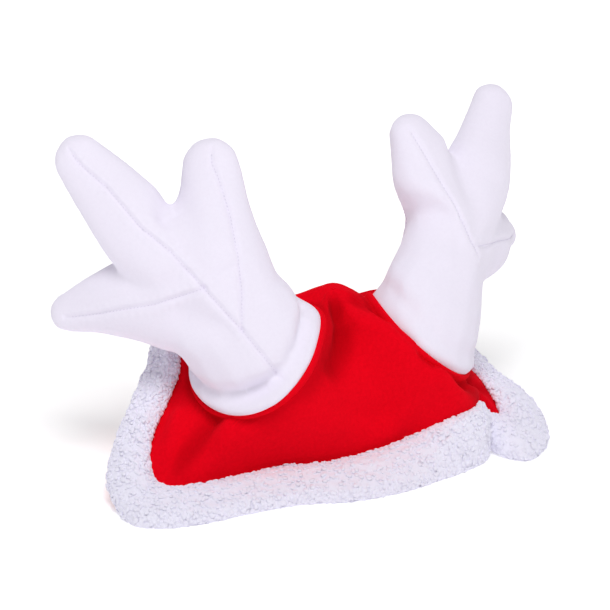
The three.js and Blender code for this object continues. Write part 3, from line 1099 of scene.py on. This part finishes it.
def makeStitches(name, mesh):
    # each stitch is found by looking square at the antler's front or back
    root = roots[name]
    out, up, forward = antlerAxes(root["side"])
    base = np.array(root["base"]) + hatShift
    tree = faceTree(mesh)
    start, stop = stitches["ends"]
    points, faces = [], []
    for _, width, face, line in antlerSeams[name]:
        if width > antler["sewnWidth"]:
            continue
        line = np.array(line, float)
        line = line + stuffingShift(line, name)
        steps = np.linalg.norm(np.diff(line, axis=0), axis=1)
        marks = np.concatenate([[0], np.cumsum(steps)])
        for mark in np.arange(start, marks[-1] - stop, stitches["spacing"]):
            o, u = np.interp(mark, marks, line[:, 0]), np.interp(mark, marks, line[:, 1])
            i = min(np.searchsorted(marks, mark, side="right") - 1, len(steps) - 1)
            way = (line[i + 1] - line[i]) / steps[i]
            for turn in stitches["turns"][face]:
                eye = base + out * o + up * u + forward * (turn * stitches["lookFrom"])
                hit, faceWay, _, _ = tree.ray_cast(Vector(eye * mm), Vector(forward * -turn))
                if hit is None:
                    continue
                hit, faceWay = np.array(hit) / mm, np.array(faceWay)
                height, _ = rootPlace(root, hit[None])
                turnedAway = faceWay @ (forward * turn) < stitches["facing"]
                if turnedAway or height[0] < stitches["lowest"]:
                    continue
                addStitch(points, faces, hit, faceWay, out * way[0] + up * way[1])
    meshPiece(f"antler_{name}_stitches", points, faces, threadMaterial)


def makeAntlers():
    left = stuffedForm(roots["left"])
    right = left.copy()
    right.transform(Matrix.Scale(-1, 4, (1, 0, 0)))
    right.flip_normals()
    for name, mesh in (("left", left), ("right", right)):
        sewAntler(mesh, name)
        mesh.name = f"antler_{name}_felt"
        obj = addPiece(mesh.name, mesh, whiteFeltMaterial, f"antler_{name}")
        makeStitches(name, mesh)
    return len(left.polygons)


print("reindeer hat: antlers made,", makeAntlers(), "faces each")

# Floor, light and camera

studio = {
    "floorSize": 8,
    "floor": (0.95, 0.95, 0.955),
    "floorRoughness": 0.9,
    "floorSpecular": 0.1,
    "paintedFloorGlow": (0.3, 0.6, 0.24, 0.7),  # painted light: the floor glows though it is no lamp, which lifts its shadows near the hat and whitens it far off; glow near the hat, far off, and from and to how many metres
    "world": 0.39,
    "target": (-0.032, -0.02655, 0.127),
    "azimuth": -25,
    "elevation": 20,
    "distance": 1.585,
    "lens": 130,
    "sensor": 36,
    # name, place, size, watts
    "lights": [
        ("key", (-0.4, -0.9, 2.15), 1.1, 27),
        ("fill", (1.6, -1.0, 1.2), 1.6, 2),
        ("rim", (0.3, 1.6, 1.6), 1.4, 3),
    ],
}


def makeFloor():
    size = studio["floorSize"]
    corners = [(-size, -size, 0), (size, -size, 0), (size, size, 0), (-size, size, 0)]
    mesh = bpy.data.meshes.new("floor")
    mesh.from_pydata(corners, [], [(0, 1, 2, 3)])
    floor = bpy.data.objects.new("floor", mesh)
    scene.collection.objects.link(floor)
    material, tree, shader, place = newMaterial("floor_paper")
    shader.inputs["Base Color"].default_value = (*studio["floor"], 1)
    # painted light: the floor glows more with distance from the middle
    reach = tree.nodes.new("ShaderNodeVectorMath")
    reach.operation = "LENGTH"
    tree.links.new(place.outputs["Object"], reach.inputs[0])
    glow = tree.nodes.new("ShaderNodeMapRange")
    glow.interpolation_type = "SMOOTHSTEP"
    for socket, value in zip(("To Min", "To Max", "From Min", "From Max"), studio["paintedFloorGlow"]):
        glow.inputs[socket].default_value = value
    tree.links.new(reach.outputs["Value"], glow.inputs["Value"])
    tree.links.new(glow.outputs["Result"], shader.inputs["Emission Strength"])
    shader.inputs["Emission Color"].default_value = (1, 1, 1, 1)
    shader.inputs["Roughness"].default_value = studio["floorRoughness"]
    shader.inputs["Specular IOR Level"].default_value = studio["floorSpecular"]
    mesh.materials.append(material)


def makeLights(target):
    world = bpy.data.worlds.new("studio")
    world.use_nodes = True
    sky = world.node_tree.nodes["Background"]
    sky.inputs["Color"].default_value = (1, 1, 1, 1)
    sky.inputs["Strength"].default_value = studio["world"]
    scene.world = world
    for name, place, width, watts in studio["lights"]:
        lamp = bpy.data.lights.new(name, "AREA")
        lamp.shape = "DISK"
        lamp.size = width
        lamp.energy = watts
        light = bpy.data.objects.new(name, lamp)
        light.location = place
        light.rotation_euler = (target - Vector(place)).to_track_quat("-Z", "Y").to_euler()
        scene.collection.objects.link(light)


def makeCamera(target):
    a, e = math.radians(studio["azimuth"]), math.radians(studio["elevation"])
    back = Vector((math.sin(a) * math.cos(e), -math.cos(a) * math.cos(e), math.sin(e)))
    lens = bpy.data.cameras.new("camera")
    lens.sensor_width = studio["sensor"]
    lens.lens = studio["lens"]
    camera = bpy.data.objects.new("camera", lens)
    camera.location = target + back * studio["distance"]
    camera.rotation_euler = (-back).to_track_quat("-Z", "Y").to_euler()
    scene.collection.objects.link(camera)
    scene.camera = camera
    scene.view_settings.view_transform = "Standard"


makeFloor()
makeLights(Vector(studio["target"]))
makeCamera(Vector(studio["target"]))
print("reindeer hat: studio made")
